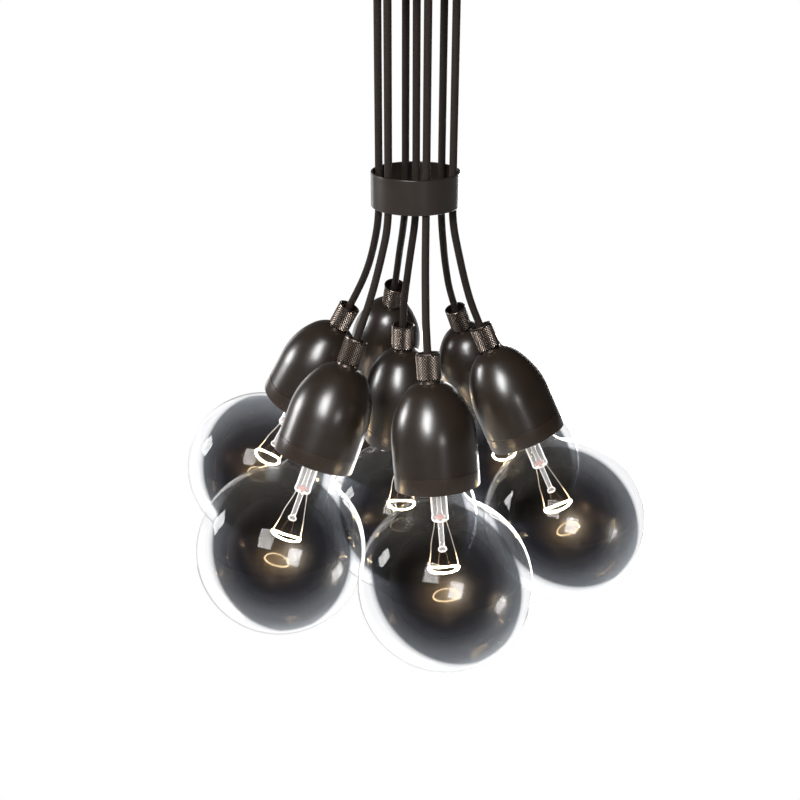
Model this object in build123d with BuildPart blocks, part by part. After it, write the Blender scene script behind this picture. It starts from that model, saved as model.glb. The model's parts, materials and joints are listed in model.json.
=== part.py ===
from build123d import *

import os
from math import asin, cos, degrees, radians, sin, sqrt, tan

# A cluster pendant: seven globe lamps on separate fabric cords, drawn together by a loose
# band a hand's width under the ceiling cover. The origin is the middle of the strap's pair
# of screw slots, in the plane of the ceiling; +Z is up, and the view of the lamps is along +Y.
# All sizes are in millimetres.

os.makedirs("parts", exist_ok=True)

# ---------------------------------------------------------------- driving dimensions

# ceiling cover and the strap that carries it
cover_diameter = 124.0
cover_depth = 28.0
cover_wall = 1.2
cover_corner = 9.0
strap_length = 108.0
strap_width = 22.0
strap_thickness = 1.6
strap_corner = 4.0
slot_spacing = 70.0
slot_length = 14.0
slot_width = 5.0
stud_spacing = 96.0
stud_diameter = 4.0
stud_clearance = 0.25
cap_nut_diameter = 11.0
cap_nut_height = 10.0
thread_clearance = 0.02
ground_screw_x = 22.0
ground_screw_diameter = 4.0
ground_screw_head = 8.0
ground_screw_head_height = 2.4
ground_screw_chamfer = 0.5
terminal_length = 30.0
terminal_width = 17.0
terminal_height = 14.0
terminal_corner = 1.5
terminal_poles = 3
terminal_bore = 3.4

# cords
cord_diameter = 5.5
cord_circle = 54.0
cord_first_azimuth = 45.0
cord_slip = 0.25
cord_inner_end = 20.0
cord_sides = 10
cord_lead_in = 13.0
cord_end_in_grip = 17.0

# cord grips in the cover
ceiling_grip_stem = 9.6
ceiling_grip_flange = 15.0
ceiling_grip_flange_height = 2.5
ceiling_grip_barrel = 12.0
ceiling_grip_tip = 9.0
ceiling_grip_height = 14.5
ceiling_grip_hole_clearance = 0.15
ceiling_nut_flats = 13.0
ceiling_nut_height = 3.6
ceiling_stem_past_nut = 1.0

# gather band
band_top = -170.0
band_height = 24.5
band_wall = 1.6
band_slip = 0.4
band_edge_round = 0.5

# lamp: a round globe on a screw cap
globe_diameter = 125.0
globe_gap = 0.6
glass_wall = 0.9
shoulder_radius = 26.0
neck_swell = 2.0
lamp_cap_diameter = 26.0
lamp_cap_wall = 0.4
lamp_cap_height = 22.0
lamp_cap_shoulder = 1.0
lamp_cap_land = 2.0
lamp_neck_length = 50.0
insulator_height = 3.6
contact_diameter = 9.0
contact_height = 1.0
neck_in_cap = 16.0
neck_clearance_in_cap = 0.4

# filament mount inside the lamp, heights measured from the globe's centre
stem_diameter = 12.0
stem_end = 47.0
stem_end_chamfer = 1.5
stem_flare_clearance = 0.2
stem_flare_height = 8.0
stem_foot_height = 4.0
rod_diameter = 4.2
bead_diameter = 6.4
bead_height = 25.0
bead_flatness = 0.7
ring_diameter = 21.6
ring_height = 11.0
ring_wire = 0.9
lead_wire = 0.8
lead_spread_at_stem = 8.0
support_wire = 0.5
support_spread = 8.0

# lamp cup
cup_diameter = 60.0
cup_wall = 1.5
cup_mouth_gap = 9.5
cup_straight = 33.0
cup_dome = 42.8
dome_crown_radius = 24.0
cup_seat_diameter = 19.0
groove_height = 11.5
groove_width = 0.8
groove_depth = 0.4
lip_round = 0.6

# knurled grip that clamps the cord on top of the cup
grip_diameter = 17.1
grip_height = 20.5
grip_foot_diameter = 15.6
grip_foot_height = 0.8
grip_foot_round = 1.0
grip_rim_wall = 1.3
grip_recess_depth = 5.0
grip_cord_slip = 0.45
spigot_diameter = 9.9
spigot_clearance = 0.1
spigot_reach = 6.0

# lampholder inside the cup
holder_diameter = 38.0
holder_mouth_rise = 12.0
holder_cylinder = 32.0
holder_cone = 18.0
holder_neck_diameter = 17.0
holder_socket_diameter = 28.6
holder_floor = 3.5
holder_chamber_diameter = 10.5
holder_mouth_round = 0.8
holder_thread_clearance = 0.03
holder_top_clearance = 0.05
shell_wall = 0.4
shell_clearance = 0.2
shell_height = 22.0
spring_contact_length = 14.0
spring_contact_width = 6.0
spring_contact_height = 0.8
contact_gap = 0.3

# where the cluster hangs: the middle globe's centre, and each lamp seen from it. Reach
# and rise are in globe pitches; azimuths are in degrees from +X, and a lean's azimuth is
# the way in which the lamp's foot swings out.
middle_globe = (-10.0, 8.0, -456.5)
lamp_places = {
    "front": {"azimuth": 284.5, "reach": 0.991, "rise": 0.131, "lean": 15.0, "lean_azimuth": 288.0},
    "right": {"azimuth": 342.7, "reach": 1.059, "rise": 0.169, "lean": 27.0, "lean_azimuth": 334.0},
    "back_right": {"azimuth": 40.4, "reach": 0.998, "rise": 0.056, "lean": 21.0, "lean_azimuth": 29.0},
    "back": {"azimuth": 101.4, "reach": 0.981, "rise": 0.194, "lean": 22.0, "lean_azimuth": 108.0},
    "back_left": {"azimuth": 162.7, "reach": 0.981, "rise": 0.209, "lean": 28.0, "lean_azimuth": 172.0},
    "left": {"azimuth": 223.7, "reach": 0.984, "rise": 0.179, "lean": 25.0, "lean_azimuth": 215.5},
    "middle": {"azimuth": 0.0, "reach": 0.0, "rise": 0.0, "lean": 1.5, "lean_azimuth": 253.0},
}

# each cord between the band and its grip: the points of the slack stretch that its
# straight drop and its grip don't fix
cord_bends = {
    "front": [(7.0, -26.1, -204.0), (6.5, -41.5, -225.5), (6.5, -57.5, -245.5)],
    "right": [(26.1, -7.0, -204.0), (31.5, -4.0, -229.0), (37.0, 1.0, -252.5)],
    "back_right": [(19.1, 19.1, -204.0), (21.5, 32.5, -230.5), (24.5, 47.0, -255.5)],
    "back": [(-7.0, 26.1, -204.0), (-9.0, 39.5, -225.5), (-11.5, 53.0, -245.5)],
    "back_left": [(-26.1, 7.0, -204.0), (-30.0, 17.0, -228.0), (-35.5, 27.5, -250.5)],
    "left": [(-19.1, -19.1, -204.0), (-24.5, -23.5, -228.0), (-30.5, -28.5, -250.5)],
    "middle": [(0.5, 1.5, -204.0), (-3.0, 6.0, -230.0), (-6.0, 10.0, -254.5)],
}

# ---------------------------------------------------------------- worked-out values

globe_radius = globe_diameter / 2
globe_pitch = globe_diameter + globe_gap
cup_radius = cup_diameter / 2
cord_radius = cord_diameter / 2
grip_bore = cord_diameter + 2 * grip_cord_slip
neck_end_diameter = lamp_cap_diameter - 2 * (lamp_cap_wall + neck_clearance_in_cap)
neck_diameter = lamp_cap_diameter + 2 * neck_swell
cover_floor_top = -cover_depth + cover_wall
band_inner_radius = cord_circle / 2 + cord_radius + band_slip

# heights along a lamp's own axis, measured from its globe's centre
mouth_z = globe_radius + cup_mouth_gap
dome_z = mouth_z + cup_straight
crown_rise = cup_dome - dome_crown_radius
crown_centre_z = dome_z + crown_rise
crown_in = cup_radius - dome_crown_radius
dome_side_radius = dome_crown_radius + (crown_in**2 + crown_rise**2) / (2 * crown_in)
dome_turn = degrees(asin(crown_rise / (dome_side_radius - dome_crown_radius)))
seat_z = crown_centre_z + sqrt(dome_crown_radius**2 - (cup_seat_diameter / 2) ** 2)
pad_z = seat_z - cup_wall
grip_top_z = seat_z + grip_height
contact_tip_z = globe_radius + lamp_neck_length
cap_top_z = contact_tip_z - contact_height - insulator_height
cap_foot_z = cap_top_z - lamp_cap_height
holder_mouth_z = mouth_z + holder_mouth_rise
holder_floor_z = contact_tip_z + contact_gap + spring_contact_height
cone_foot_z = holder_mouth_z + holder_cylinder
cone_top_z = cone_foot_z + holder_cone
holder_top_z = pad_z - holder_top_clearance


def axis_of_lean(lean, azimuth):
    """Unit vector up a lamp's axis, when its foot leans out by these angles."""
    side = -sin(radians(lean))
    return Vector(side * cos(radians(azimuth)), side * sin(radians(azimuth)), cos(radians(lean)))


def lamp_plane(place):
    """A lamp's own plane: origin in the globe's centre, z up its axis, x to the viewer's right."""
    reach = place["reach"] * globe_pitch
    centre = Vector(
        middle_globe[0] + reach * cos(radians(place["azimuth"])),
        middle_globe[1] + reach * sin(radians(place["azimuth"])),
        middle_globe[2] + place["rise"] * globe_pitch,
    )
    up = axis_of_lean(place["lean"], place["lean_azimuth"])
    right = Vector(0, 1, 0).cross(up)
    return Plane(origin=centre, x_dir=right, z_dir=up)


lamp_planes = {name: lamp_plane(place) for name, place in lamp_places.items()}


def save(part, name):
    part.label = name
    export_step(part, f"parts/{name}.step")


def turned(points):
    """Closed outline of a turned piece, given as (radius, height) points."""
    Polyline(*points, close=True)


# ---------------------------------------------------------------- ceiling cover

with BuildPart() as cover:
    with BuildSketch():
        Circle(cover_diameter / 2)
    extrude(amount=-cover_depth)
    fillet(cover.edges().group_by(Axis.Z)[0], cover_corner)
    offset(amount=-cover_wall, openings=cover.faces().sort_by(Axis.Z)[-1])
    with PolarLocations(cord_circle / 2, 6, start_angle=cord_first_azimuth):
        Hole(ceiling_grip_stem / 2 + ceiling_grip_hole_clearance)
    Hole(ceiling_grip_stem / 2 + ceiling_grip_hole_clearance)
    with GridLocations(stud_spacing, 0, 2, 1):
        Hole(stud_diameter / 2 + stud_clearance)
save(cover.part, "ceiling_cover")

# ---------------------------------------------------------------- mounting strap

with BuildPart() as strap:
    with BuildSketch():
        RectangleRounded(strap_length, strap_width, strap_corner)
        with GridLocations(slot_spacing, 0, 2, 1):
            SlotOverall(slot_length, slot_width, mode=Mode.SUBTRACT)
        with GridLocations(stud_spacing, 0, 2, 1):
            Circle(stud_diameter / 2, mode=Mode.SUBTRACT)
        with Locations((ground_screw_x, 0)):
            Circle(ground_screw_diameter / 2, mode=Mode.SUBTRACT)
    extrude(amount=-strap_thickness)
save(strap.part, "mounting_strap")

stud_in_nut = cap_nut_height / 2
stud_tip_room = 0.5
with BuildPart() as studs:
    with BuildSketch():
        with GridLocations(stud_spacing, 0, 2, 1):
            Circle(stud_diameter / 2)
    extrude(amount=-(cover_depth + stud_in_nut))
save(studs.part, "cover_studs")

cap_nut_round = cap_nut_diameter * 0.4
with BuildPart() as cap_nuts:
    with BuildSketch(Plane.XY.offset(-cover_depth)):
        with GridLocations(stud_spacing, 0, 2, 1):
            Circle(cap_nut_diameter / 2)
    extrude(amount=-cap_nut_height)
    fillet(cap_nuts.edges().group_by(Axis.Z)[0], cap_nut_round)
    with BuildSketch(Plane.XY.offset(-cover_depth)):
        with GridLocations(stud_spacing, 0, 2, 1):
            Circle(stud_diameter / 2 + thread_clearance)
    extrude(amount=-(stud_in_nut + stud_tip_room), mode=Mode.SUBTRACT)
save(cap_nuts.part, "cap_nuts")

with BuildPart() as ground_screw:
    with BuildSketch(Plane.XY.offset(-strap_thickness)):
        with Locations((ground_screw_x, 0)):
            Circle(ground_screw_head / 2)
    extrude(amount=-ground_screw_head_height)
    chamfer(ground_screw.edges().group_by(Axis.Z)[0], ground_screw_chamfer)
    with BuildSketch():
        with Locations((ground_screw_x, 0)):
            Circle(ground_screw_diameter / 2)
    extrude(amount=-strap_thickness)
save(ground_screw.part, "ground_screw")

with BuildPart() as terminal_block:
    with BuildSketch(Plane.XY.offset(-strap_thickness)):
        RectangleRounded(terminal_length, terminal_width, terminal_corner)
    extrude(amount=-terminal_height)
    pole_pitch = terminal_length / terminal_poles
    with BuildSketch(Plane.XZ.offset(terminal_width / 2)):
        with Locations((0, -strap_thickness - terminal_height / 2)):
            with GridLocations(pole_pitch, 0, terminal_poles, 1):
                Circle(terminal_bore / 2)
    extrude(amount=-terminal_width, mode=Mode.SUBTRACT)
    with BuildSketch(Plane.XY.offset(-strap_thickness - terminal_height)):
        with GridLocations(pole_pitch, terminal_width / 2, terminal_poles, 2):
            Circle(terminal_bore / 2)
    extrude(amount=terminal_height / 2, mode=Mode.SUBTRACT)
save(terminal_block.part, "terminal_block")

# ---------------------------------------------------------------- cord grips in the cover

grip_bore_radius = cord_radius + cord_slip
barrel_top = -cover_depth - ceiling_grip_flange_height
ceiling_stem_top = cover_floor_top + ceiling_nut_height + ceiling_stem_past_nut
with BuildPart() as ceiling_grip:
    with BuildSketch(Plane.XZ):
        with BuildLine():
            turned(
                [
                    (grip_bore_radius, ceiling_stem_top),
                    (ceiling_grip_stem / 2, ceiling_stem_top),
                    (ceiling_grip_stem / 2, -cover_depth),
                    (ceiling_grip_flange / 2, -cover_depth),
                    (ceiling_grip_flange / 2, barrel_top),
                    (ceiling_grip_barrel / 2, barrel_top),
                    (ceiling_grip_barrel / 2, barrel_top - ceiling_grip_height / 3),
                    (ceiling_grip_tip / 2, -cover_depth - ceiling_grip_height),
                    (grip_bore_radius, -cover_depth - ceiling_grip_height),
                ]
            )
        make_face()
    revolve(axis=Axis.Z)

with BuildPart() as ceiling_nut:
    with BuildSketch(Plane.XY.offset(cover_floor_top)):
        RegularPolygon(ceiling_nut_flats / 2, 6, major_radius=False)
        Circle(ceiling_grip_stem / 2 + thread_clearance, mode=Mode.SUBTRACT)
    extrude(amount=ceiling_nut_height)

with BuildPart() as ceiling_grips:
    with PolarLocations(cord_circle / 2, 6, start_angle=cord_first_azimuth):
        add(ceiling_grip.part)
    add(ceiling_grip.part)
save(ceiling_grips.part, "ceiling_cord_grips")

with BuildPart() as ceiling_nuts:
    with PolarLocations(cord_circle / 2, 6, start_angle=cord_first_azimuth):
        add(ceiling_nut.part)
    add(ceiling_nut.part)
save(ceiling_nuts.part, "cord_grip_nuts")

# ---------------------------------------------------------------- gather band

with BuildPart() as band:
    with BuildSketch(Plane.XY.offset(band_top)):
        Circle(band_inner_radius + band_wall)
        Circle(band_inner_radius, mode=Mode.SUBTRACT)
    extrude(amount=-band_height)
    fillet(band.edges(), band_edge_round)
save(band.part, "gather_band")

# ---------------------------------------------------------------- lamp cup

def dome_side(inset, top):
    """The cup's dome in half section: a wide arc up from its straight side and the crown's arc."""
    top_angle = degrees(asin((top - crown_centre_z) / (dome_crown_radius - inset)))
    side_centre = (cup_radius - dome_side_radius, dome_z)
    side = CenterArc(side_centre, dome_side_radius - inset, 0, dome_turn)
    crown_centre = (0, crown_centre_z)
    crown = CenterArc(crown_centre, dome_crown_radius - inset, dome_turn, top_angle - dome_turn)
    return side @ 0, crown @ 1


cup_hole_radius = spigot_diameter / 2 + spigot_clearance
with BuildPart() as cup:
    with BuildSketch(Plane.XZ):
        with BuildLine():
            outer_foot, outer_top = dome_side(0, seat_z)
            inner_foot, inner_top = dome_side(cup_wall, pad_z)
            Polyline(outer_top, (cup_hole_radius, seat_z), (cup_hole_radius, pad_z), inner_top)
            Polyline(inner_foot, (cup_radius - cup_wall, mouth_z), (cup_radius, mouth_z), outer_foot)
        make_face()
    revolve(axis=Axis.Z)
    with BuildSketch(Plane.XY.offset(mouth_z + groove_height)):
        Circle(cup_radius + 1)
        Circle(cup_radius - groove_depth, mode=Mode.SUBTRACT)
    extrude(amount=groove_width, mode=Mode.SUBTRACT)
    fillet(cup.edges().group_by(Axis.Z)[0], lip_round)

# ---------------------------------------------------------------- knurled cord grip

with BuildPart() as grip:
    with BuildSketch(Plane.XZ):
        with BuildLine():
            turned(
                [
                    (grip_bore / 2, pad_z - spigot_reach),
                    (spigot_diameter / 2, pad_z - spigot_reach),
                    (spigot_diameter / 2, seat_z),
                    (grip_foot_diameter / 2, seat_z),
                    (grip_foot_diameter / 2, seat_z + grip_foot_height),
                    (grip_diameter / 2 - grip_foot_round, seat_z + grip_foot_height),
                    (grip_diameter / 2, seat_z + grip_foot_height + grip_foot_round),
                    (grip_diameter / 2, grip_top_z),
                    (grip_diameter / 2 - grip_rim_wall, grip_top_z),
                    (grip_diameter / 2 - grip_rim_wall, grip_top_z - grip_recess_depth),
                    (grip_bore / 2, grip_top_z - grip_recess_depth),
                ]
            )
        make_face()
    revolve(axis=Axis.Z)

# ---------------------------------------------------------------- lampholder

holder_radius = holder_diameter / 2
socket_radius = holder_socket_diameter / 2
chamber_radius = holder_chamber_diameter / 2
spigot_hole_radius = spigot_diameter / 2 + holder_thread_clearance
spigot_hole_end_z = pad_z - spigot_reach - 1
with BuildPart() as holder:
    with BuildSketch(Plane.XZ):
        with BuildLine():
            turned(
                [
                    (socket_radius, holder_mouth_z),
                    (holder_radius, holder_mouth_z),
                    (holder_radius, cone_foot_z),
                    (holder_neck_diameter / 2, cone_top_z),
                    (holder_neck_diameter / 2, holder_top_z),
                    (spigot_hole_radius, holder_top_z),
                    (spigot_hole_radius, spigot_hole_end_z),
                    (chamber_radius, spigot_hole_end_z - 1),
                    (chamber_radius, holder_floor_z + holder_floor),
                    (0, holder_floor_z + holder_floor),
                    (0, holder_floor_z),
                    (socket_radius, holder_floor_z),
                ]
            )
        make_face()
    revolve(axis=Axis.Z)
    fillet(holder.edges().group_by(Axis.Z)[0], holder_mouth_round)

with BuildPart() as screw_shell:
    shell_inner = lamp_cap_diameter / 2 + shell_clearance
    with BuildSketch(Plane.XY.offset(holder_floor_z)):
        Circle(shell_inner + shell_wall)
        Circle(shell_inner, mode=Mode.SUBTRACT)
    extrude(amount=-shell_height)

with BuildPart() as spring_contact:
    with BuildSketch(Plane.XY.offset(holder_floor_z)):
        SlotOverall(spring_contact_length, spring_contact_width)
    extrude(amount=-spring_contact_height)

# ---------------------------------------------------------------- lamp glass


def glass_outline(radius, shoulder, neck, neck_end, top):
    """Half outline of the globe, its hollow shoulder and its neck, closed down the axis."""
    corner_x = neck + shoulder
    reach = radius + shoulder
    corner_z = sqrt(reach**2 - corner_x**2)
    touch = (corner_x * radius / reach, corner_z * radius / reach)
    side = degrees_of(touch)
    CenterArc((0, 0), radius, -90, 90 + side)
    CenterArc((corner_x, corner_z), shoulder, 180 + side, -side)
    Polyline((neck, corner_z), (neck_end, cap_foot_z + 1), (neck_end, top), (0, top), (0, -radius))


def degrees_of(point):
    return Vector(1, 0, 0).get_angle(Vector(point[0], point[1], 0))


neck_top_z = cap_foot_z + neck_in_cap
with BuildPart() as glass:
    with BuildSketch(Plane.XZ):
        with BuildLine():
            glass_outline(
                globe_radius, shoulder_radius, neck_diameter / 2, neck_end_diameter / 2, neck_top_z
            )
        make_face()
    revolve(axis=Axis.Z)
    with BuildSketch(Plane.XZ):
        with BuildLine():
            glass_outline(
                globe_radius - glass_wall,
                shoulder_radius + glass_wall,
                neck_diameter / 2 - glass_wall,
                neck_end_diameter / 2 - glass_wall,
                neck_top_z,
            )
        make_face()
    revolve(axis=Axis.Z, mode=Mode.SUBTRACT)

# ---------------------------------------------------------------- lamp cap

cap_radius = lamp_cap_diameter / 2
cap_hole_radius = contact_diameter / 2 + lamp_cap_land
with BuildPart() as cap_shell:
    with BuildSketch(Plane.XZ):
        with BuildLine():
            turned(
                [
                    (cap_radius - lamp_cap_wall, cap_foot_z),
                    (cap_radius, cap_foot_z),
                    (cap_radius, cap_top_z - lamp_cap_shoulder),
                    (cap_radius - lamp_cap_shoulder, cap_top_z),
                    (cap_hole_radius, cap_top_z),
                    (cap_hole_radius, cap_top_z - lamp_cap_wall),
                    (cap_radius - lamp_cap_shoulder, cap_top_z - lamp_cap_wall),
                    (cap_radius - lamp_cap_wall, cap_top_z - lamp_cap_shoulder),
                ]
            )
        make_face()
    revolve(axis=Axis.Z)

with BuildPart() as cap_insulator:
    with BuildSketch(Plane.XZ):
        with BuildLine():
            turned(
                [
                    (0, cap_top_z),
                    (cap_radius - lamp_cap_shoulder, cap_top_z),
                    (contact_diameter / 2, cap_top_z + insulator_height),
                    (0, cap_top_z + insulator_height),
                ]
            )
        make_face()
    revolve(axis=Axis.Z)

with BuildPart() as cap_contact:
    with BuildSketch(Plane.XY.offset(cap_top_z + insulator_height)):
        Circle(contact_diameter / 2)
    extrude(amount=contact_height)
    chamfer(cap_contact.edges().group_by(Axis.Z)[-1], contact_height * 0.6)

# ---------------------------------------------------------------- filament mount

stem_radius = stem_diameter / 2
stem_flare_radius = neck_end_diameter / 2 - glass_wall - stem_flare_clearance
stem_flare_z = neck_top_z - stem_foot_height
bead_half_height = bead_diameter / 2 * bead_flatness
with BuildPart() as stem:
    with BuildSketch(Plane.XZ):
        with BuildLine():
            turned(
                [
                    (0, bead_height),
                    (rod_diameter / 2, bead_height),
                    (rod_diameter / 2, stem_end),
                    (stem_radius - stem_end_chamfer, stem_end),
                    (stem_radius, stem_end + stem_end_chamfer),
                    (stem_radius, stem_flare_z - stem_flare_height),
                    (stem_flare_radius, stem_flare_z),
                    (stem_flare_radius, neck_top_z),
                    (0, neck_top_z),
                ]
            )
        make_face()
    revolve(axis=Axis.Z)
    with BuildSketch(Plane.XZ):
        with Locations((0, bead_height)):
            Ellipse(bead_diameter / 2, bead_half_height)
            with Locations((-bead_diameter / 2, 0)):
                Rectangle(bead_diameter, bead_diameter, mode=Mode.SUBTRACT)
    revolve(axis=Axis.Z)

ring_radius = ring_diameter / 2
with BuildPart() as filament:
    with BuildSketch(Plane.XZ):
        with Locations((ring_radius, ring_height)):
            RegularPolygon(ring_wire / 2, 6)
    revolve(axis=Axis.Z)


def wire(start, end, diameter):
    """A thin straight wire between two points of the mount."""
    run = Vector(*end) - Vector(*start)
    with BuildPart() as strand:
        with BuildSketch(Plane(origin=start, z_dir=run)):
            RegularPolygon(diameter / 2, 6)
        extrude(amount=run.length)
    return strand.part


ring_seat = ring_height + ring_wire / 2 + lead_wire / 2
hook_x = support_spread / 2
hook_y = sqrt(ring_radius**2 - hook_x**2)
lead_gap = 0.3
wires = []
for side in (-1, 1):
    stem_point = (side * lead_spread_at_stem / 2, 0, stem_end - lead_gap)
    ring_point = (side * ring_radius, 0, ring_seat)
    wires.append(wire(stem_point, ring_point, lead_wire))
    bead_point = (side * bead_diameter * 0.3, 0, bead_height - bead_half_height)
    wires.append(wire(bead_point, (side * hook_x, hook_y, ring_seat), support_wire))

# ---------------------------------------------------------------- the seven lamps

single_pieces = {"cup": cup.part, "cord_grip": grip.part, "glass": glass.part}
grouped_pieces = {
    "lampholder": [holder.part, screw_shell.part, spring_contact.part],
    "lamp_cap": [cap_shell.part, cap_insulator.part, cap_contact.part],
    "filament_mount": [stem.part, filament.part, *wires],
}

for name, plane in lamp_planes.items():
    for piece, shape in single_pieces.items():
        save(plane.location * shape, f"{name}_{piece}")
    for piece, shapes in grouped_pieces.items():
        save(Compound(children=[plane.location * shape for shape in shapes]), f"{name}_{piece}")

# ---------------------------------------------------------------- cords


def cord_route(name, order):
    """All points of a cord, from inside the cover, through the band, into its grip."""
    drop = cord_bends[name][0]
    plane = lamp_planes[name]
    if order is None:
        top = Vector(0, 0, -cord_inner_end)
    else:
        azimuth = radians(cord_first_azimuth + 60 * order)
        top = Vector(cord_circle / 2 * cos(azimuth), cord_circle / 2 * sin(azimuth), -cord_inner_end)
    lead_in = plane.origin + plane.z_dir * (grip_top_z + cord_lead_in)
    end = plane.origin + plane.z_dir * (grip_top_z - cord_end_in_grip)
    return [top, *[Vector(*point) for point in cord_bends[name]], lead_in, end]


def arc_radii(points):
    """As large an arc at each point as its two runs allow."""
    radii = []
    for before, at, after in zip(points, points[1:], points[2:]):
        turn = (at - before).get_angle(after - at)
        shorter = min((at - before).length, (after - at).length)
        radii.append(0.45 * shorter / tan(radians(turn / 2)))
    return radii


def cord_tube(points, radii):
    with BuildPart() as tube:
        with BuildLine() as route:
            FilletPolyline(*points, radius=radii)
        with BuildSketch(Plane(route.line @ 0, z_dir=route.line % 0)):
            RegularPolygon(cord_radius, cord_sides)
        sweep()
    return tube.part, route.wire().length


cord_orders = {"back_right": 0, "back": 1, "back_left": 2, "left": 3, "front": 4, "right": 5, "middle": None}
section = cord_sides / 2 * cord_radius**2 * sin(radians(360 / cord_sides))
for name, order in cord_orders.items():
    points = cord_route(name, order)
    radii = arc_radii(points)
    tube, length = cord_tube(points, radii)
    print(
        name,
        "cord: length", round(length, 1),
        "radii", [round(radius) for radius in radii],
        "volume", round(tube.volume), "section x length", round(section * length),
    )
    print("   route", [tuple(round(value, 1) for value in point) for point in points])
    save(tube, f"{name}_cord")
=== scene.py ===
import json
import math

import bpy
from mathutils import Matrix, Vector


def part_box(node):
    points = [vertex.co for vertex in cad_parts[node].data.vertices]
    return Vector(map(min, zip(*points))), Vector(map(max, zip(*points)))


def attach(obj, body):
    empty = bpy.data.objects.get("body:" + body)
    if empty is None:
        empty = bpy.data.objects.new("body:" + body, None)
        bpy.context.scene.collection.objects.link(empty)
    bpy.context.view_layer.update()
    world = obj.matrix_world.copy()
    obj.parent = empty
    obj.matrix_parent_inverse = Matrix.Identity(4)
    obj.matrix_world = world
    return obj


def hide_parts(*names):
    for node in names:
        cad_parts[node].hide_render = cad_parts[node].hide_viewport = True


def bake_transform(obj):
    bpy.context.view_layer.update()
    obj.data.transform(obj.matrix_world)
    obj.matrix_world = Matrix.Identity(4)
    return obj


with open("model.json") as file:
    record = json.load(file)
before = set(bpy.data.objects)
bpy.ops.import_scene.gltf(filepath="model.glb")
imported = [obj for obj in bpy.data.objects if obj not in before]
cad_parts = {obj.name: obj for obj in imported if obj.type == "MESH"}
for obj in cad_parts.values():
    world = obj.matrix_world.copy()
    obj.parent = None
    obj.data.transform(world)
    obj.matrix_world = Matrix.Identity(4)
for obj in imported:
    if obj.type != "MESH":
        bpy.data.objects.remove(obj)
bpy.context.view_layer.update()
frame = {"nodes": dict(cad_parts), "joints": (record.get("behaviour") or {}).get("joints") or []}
scene = bpy.context.scene
scene.view_settings.view_transform = "Standard"
scene.cycles.transparent_max_bounces = 48  # seven globes, each with four faces on a line of sight
print("frame loaded:", len(frame["nodes"]), "nodes")

mm = 0.001
full = 2 * math.pi
poleRadius = 1e-6  # mm; an outline point nearer the axis than this becomes one point
lampNames = ["front", "right", "back_right", "back", "back_left", "left", "middle"]


# camera, at the photograph's place and pitch

camera = {
    "place": (-0.0110, -0.7410, -0.0062),
    "pitchDown": 24.77,
    "lens": 47.32,
    "sensor": 36.0,
    "clipStart": 0.01,
}


def makeCamera(c):
    data = bpy.data.cameras.new("camera")
    data.lens = c["lens"]
    data.sensor_width = c["sensor"]
    data.clip_start = c["clipStart"]
    obj = bpy.data.objects.new("camera", data)
    scene.collection.objects.link(obj)
    obj.location = c["place"]
    obj.rotation_euler = (math.radians(90 - c["pitchDown"]), 0, 0)
    scene.camera = obj


makeCamera(camera)


# mesh helpers

def newObject(name, points, faces, materials, owners=None, uvs=None, sharpAngle=40):
    mesh = bpy.data.meshes.new(name)
    mesh.from_pydata(points, [], faces)
    for material in materials:
        mesh.materials.append(material)
    if owners:
        mesh.polygons.foreach_set("material_index", owners)
    if uvs:
        layer = mesh.uv_layers.new(name="alongCord")
        layer.data.foreach_set("uv", [value for pair in uvs for value in pair])
    mesh.polygons.foreach_set("use_smooth", [True] * len(mesh.polygons))
    mesh.set_sharp_from_angle(angle=math.radians(sharpAngle))
    mesh.update()
    obj = bpy.data.objects.new(name, mesh)
    scene.collection.objects.link(obj)
    return obj


def arc(x, z, radius, start, end, steps):
    turn = [math.radians(start + (end - start) * i / steps) for i in range(steps + 1)]
    return [(x + radius * math.cos(a), z + radius * math.sin(a)) for a in turn]


def lathe(outline, around, closed=False, shape=None):
    # an outline in mm turned about the z axis; shape gives a point's radius by its angle and height
    points, rings = [], []
    for r, z in outline:
        if r < poleRadius:
            rings.append([len(points)])
            points.append((0, 0, z * mm))
            continue
        rings.append(list(range(len(points), len(points) + around)))
        for k in range(around):
            a = full * k / around
            s = (shape(r, a, z) if shape else r) * mm
            points.append((s * math.cos(a), s * math.sin(a), z * mm))
    if closed:
        rings.append(rings[0])
    faces, owners = [], []
    for i, (low, high) in enumerate(zip(rings, rings[1:])):
        for k in range(around):
            n = (k + 1) % around
            if len(low) == 1:
                faces.append((low[0], high[n], high[k]))
            elif len(high) == 1:
                faces.append((low[k], low[n], high[0]))
            else:
                faces.append((low[k], low[n], high[n], high[k]))
            owners.append(i)
    return points, faces, owners


def sweep(line, radius, sides, capped=True, ring=False):
    # a round tube along a line, with u round it and v along it, both counted in girths
    tangents = []
    for i in range(len(line)):
        before = line[i - 1] if i or ring else line[0]
        after = line[(i + 1) % len(line)] if i + 1 < len(line) or ring else line[-1]
        tangents.append((after - before).normalized())
    side = tangents[0].orthogonal().normalized()
    points, along, travelled = [], [], 0
    for i, at in enumerate(line):
        side = (side - tangents[i] * side.dot(tangents[i])).normalized()
        other = tangents[i].cross(side)
        if i:
            travelled += (at - line[i - 1]).length
        along.append(travelled / (full * radius))
        for k in range(sides):
            a = full * k / sides
            points.append(at + (side * math.cos(a) + other * math.sin(a)) * radius)
    faces, uvs = [], []
    last = len(line) if ring else len(line) - 1
    for i in range(last):
        j = (i + 1) % len(line)
        for k in range(sides):
            n = (k + 1) % sides
            faces.append((i * sides + k, i * sides + n, j * sides + n, j * sides + k))
            u, v, w = k / sides, (k + 1) / sides, along[j] if j else along[-1]
            uvs += [(u, along[i]), (v, along[i]), (v, w), (u, w)]
    if capped and not ring:
        faces.append(tuple(range(sides))[::-1])
        faces.append(tuple((len(line) - 1) * sides + k for k in range(sides)))
        uvs += [(0.5, 0)] * sides + [(0.5, along[-1])] * sides
    return points, faces, uvs


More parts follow.
